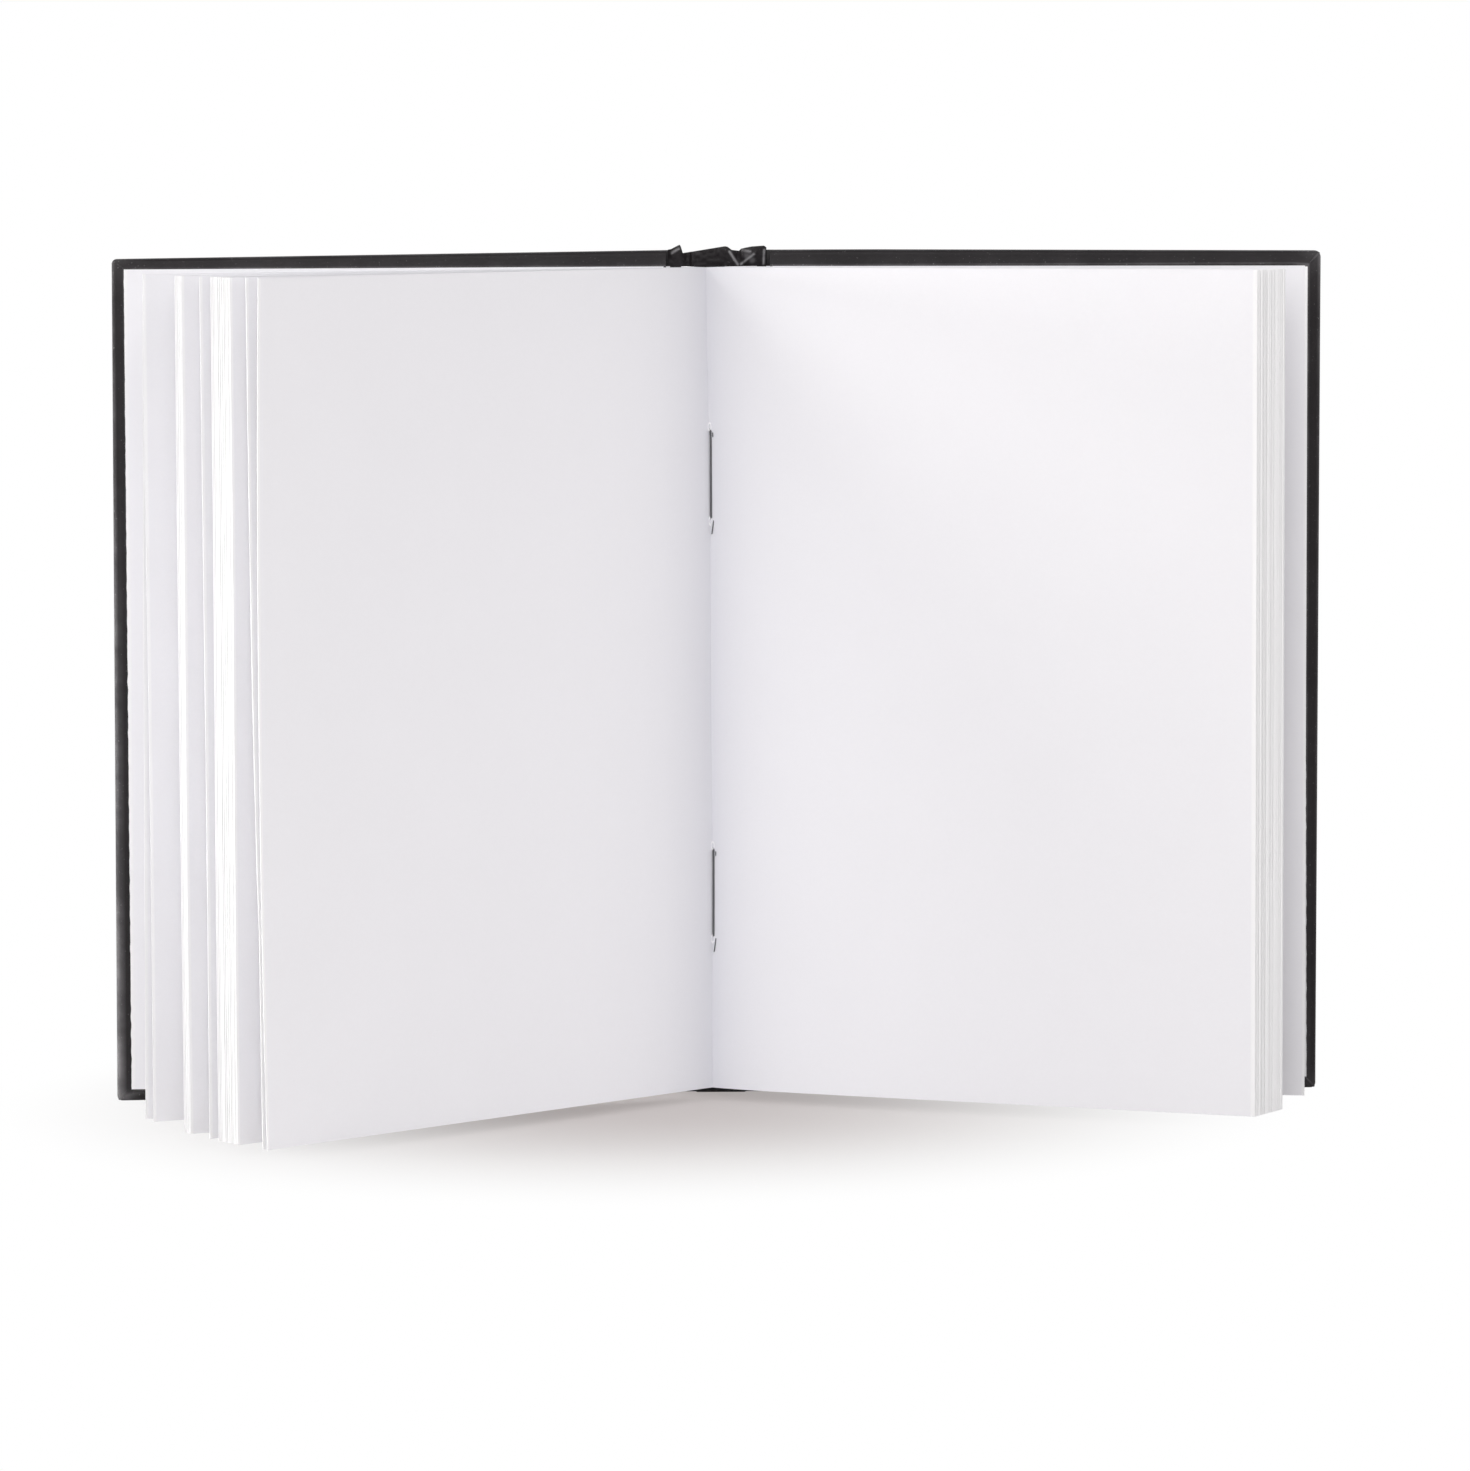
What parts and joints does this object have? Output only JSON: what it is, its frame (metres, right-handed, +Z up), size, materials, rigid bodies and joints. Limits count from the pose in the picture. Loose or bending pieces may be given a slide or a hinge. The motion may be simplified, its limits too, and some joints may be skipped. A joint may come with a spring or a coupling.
{
  "type": "opened sketchbook",
  "caption": "Hard-cover sketchbook with sewn sections, standing on its tail edge and spread open, with hinged covers and fanned leaves.",
  "frame": {"origin": "middle of the spine's tail edge, where it stands on the table", "axes": "+X to the reader's right along the spread, +Y from the reader to the back, +Z up from tail to head"},
  "size_m": [0.3078, 0.1218, 0.2174],
  "materials": {
    "board": "grey binder's board",
    "cover_cloth": "black grained leather-cloth with a soft sheen",
    "paper": "uncoated white drawing paper",
    "lining": "open-weave lining cloth set in glue",
    "thread": "twisted white thread"
  },
  "bodies": {
    "text_block": {"page_block": "paper", "left_flyleaf": "paper", "right_flyleaf": "paper", "spine_lining": "lining", "sewing_thread": "thread", "spine_cloth": "cover_cloth", "spine_strip": "board"},
    "left_cover": {"left_board": "board", "left_cover_cloth": "cover_cloth", "left_pastedown": "paper"},
    "right_cover": {"right_board": "board", "right_cover_cloth": "cover_cloth", "right_pastedown": "paper"}
  },
  "joints": [
    {"name": "left_cover_hinge", "type": "hinge", "parent": "text_block", "child": "left_cover", "pos_m": [-0.013, 0.00105, 0], "axis": [0, 0, 1], "range_deg": [-90, 18]},
    {"name": "right_cover_hinge", "type": "hinge", "parent": "text_block", "child": "right_cover", "pos_m": [0.013, 0.00105, 0], "axis": [0, 0, -1], "range_deg": [-90, 12]}
  ]
}
